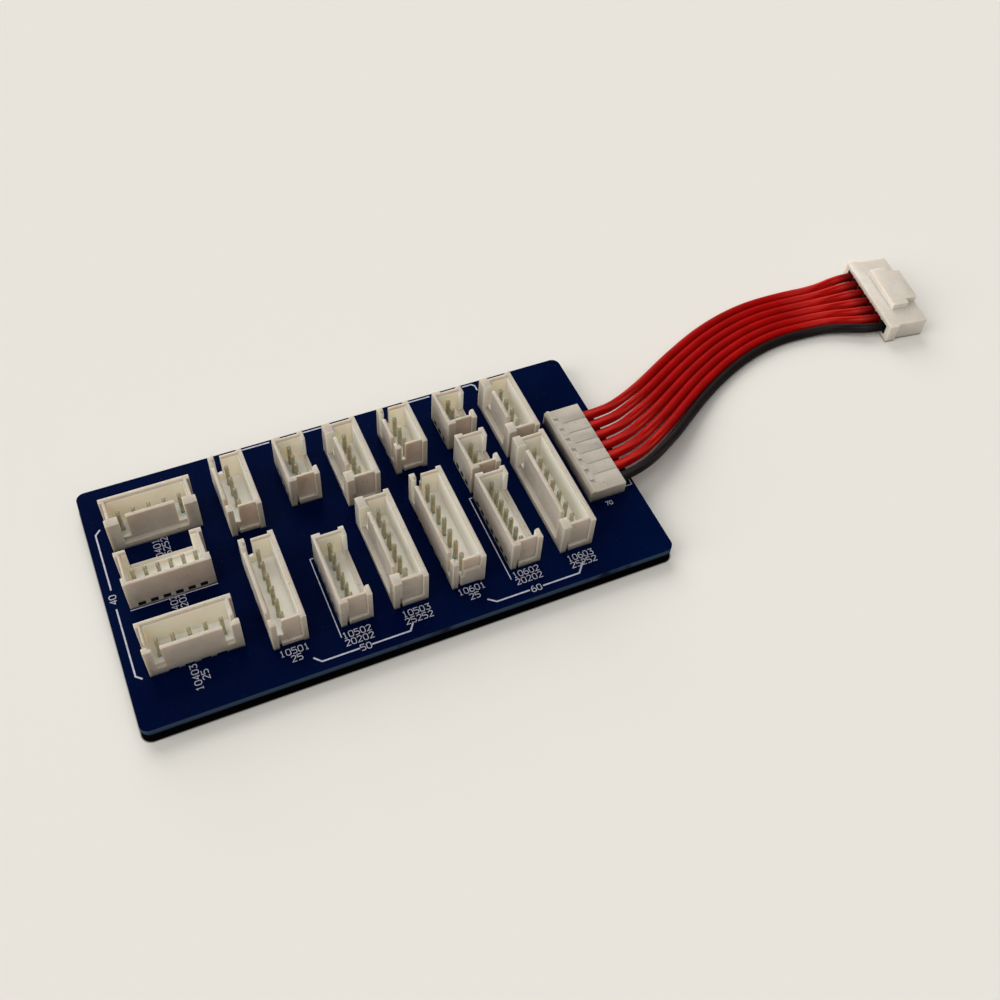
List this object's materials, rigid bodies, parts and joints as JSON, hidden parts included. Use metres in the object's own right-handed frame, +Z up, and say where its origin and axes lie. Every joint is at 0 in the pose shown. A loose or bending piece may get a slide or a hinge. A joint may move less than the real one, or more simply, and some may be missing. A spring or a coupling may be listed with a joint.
{
  "type": "balance adapter board",
  "caption": "Flat rectangular circuit board carrying rows of shrouded pin headers, with a short ribbon of wires from one edge to a charger plug.",
  "frame": {"origin": "middle of the board's outline, on the table under the tips of the soldered tails", "axes": "+X along the board's length towards the edge with the wires, +Y across the board towards the rows of short headers, +Z up"},
  "size_m": [0.1681, 0.0501, 0.0103],
  "materials": {
    "board_blue": "glossy solder mask over glass laminate",
    "nylon_ivory": "satin moulded nylon",
    "plug_white": "satin moulded nylon",
    "pin_metal": "tinned",
    "solder": "bright solder",
    "wire_red": "soft glossy insulation",
    "wire_black": "soft glossy insulation"
  },
  "bodies": {
    "root": {"board": "board_blue", "solder_joints": "solder", "header_4cell_slotted": "nylon_ivory", "pins_4cell_slotted": "pin_metal", "header_4cell_fine": "nylon_ivory", "pins_4cell_fine": "pin_metal", "header_4cell_stepped": "nylon_ivory", "pins_4cell_stepped": "pin_metal", "header_5cell_slotted": "nylon_ivory", "pins_5cell_slotted": "pin_metal", "header_5cell_fine": "nylon_ivory", "pins_5cell_fine": "pin_metal", "header_5cell_stepped": "nylon_ivory", "pins_5cell_stepped": "pin_metal", "header_6cell_slotted": "nylon_ivory", "pins_6cell_slotted": "pin_metal", "header_6cell_fine": "nylon_ivory", "pins_6cell_fine": "pin_metal", "header_6cell_stepped": "nylon_ivory", "pins_6cell_stepped": "pin_metal", "header_3cell_slotted": "nylon_ivory", "pins_3cell_slotted": "pin_metal", "header_3cell_fine": "nylon_ivory", "pins_3cell_fine": "pin_metal", "header_3cell_stepped": "nylon_ivory", "pins_3cell_stepped": "pin_metal", "header_2cell_slotted": "nylon_ivory", "pins_2cell_slotted": "pin_metal", "header_2cell_fine": "nylon_ivory", "pins_2cell_fine": "pin_metal", "header_2cell_fine_inner": "nylon_ivory", "pins_2cell_fine_inner": "pin_metal", "header_2cell_stepped": "nylon_ivory", "pins_2cell_stepped": "pin_metal", "output_housing": "nylon_ivory", "output_contacts": "pin_metal", "wire_black": "wire_black", "wire_red_1": "wire_red", "wire_red_2": "wire_red", "wire_red_3": "wire_red", "wire_red_4": "wire_red", "wire_red_5": "wire_red", "wire_red_6": "wire_red", "plug_housing": "plug_white", "plug_contacts": "pin_metal"}
  },
  "joints": []
}
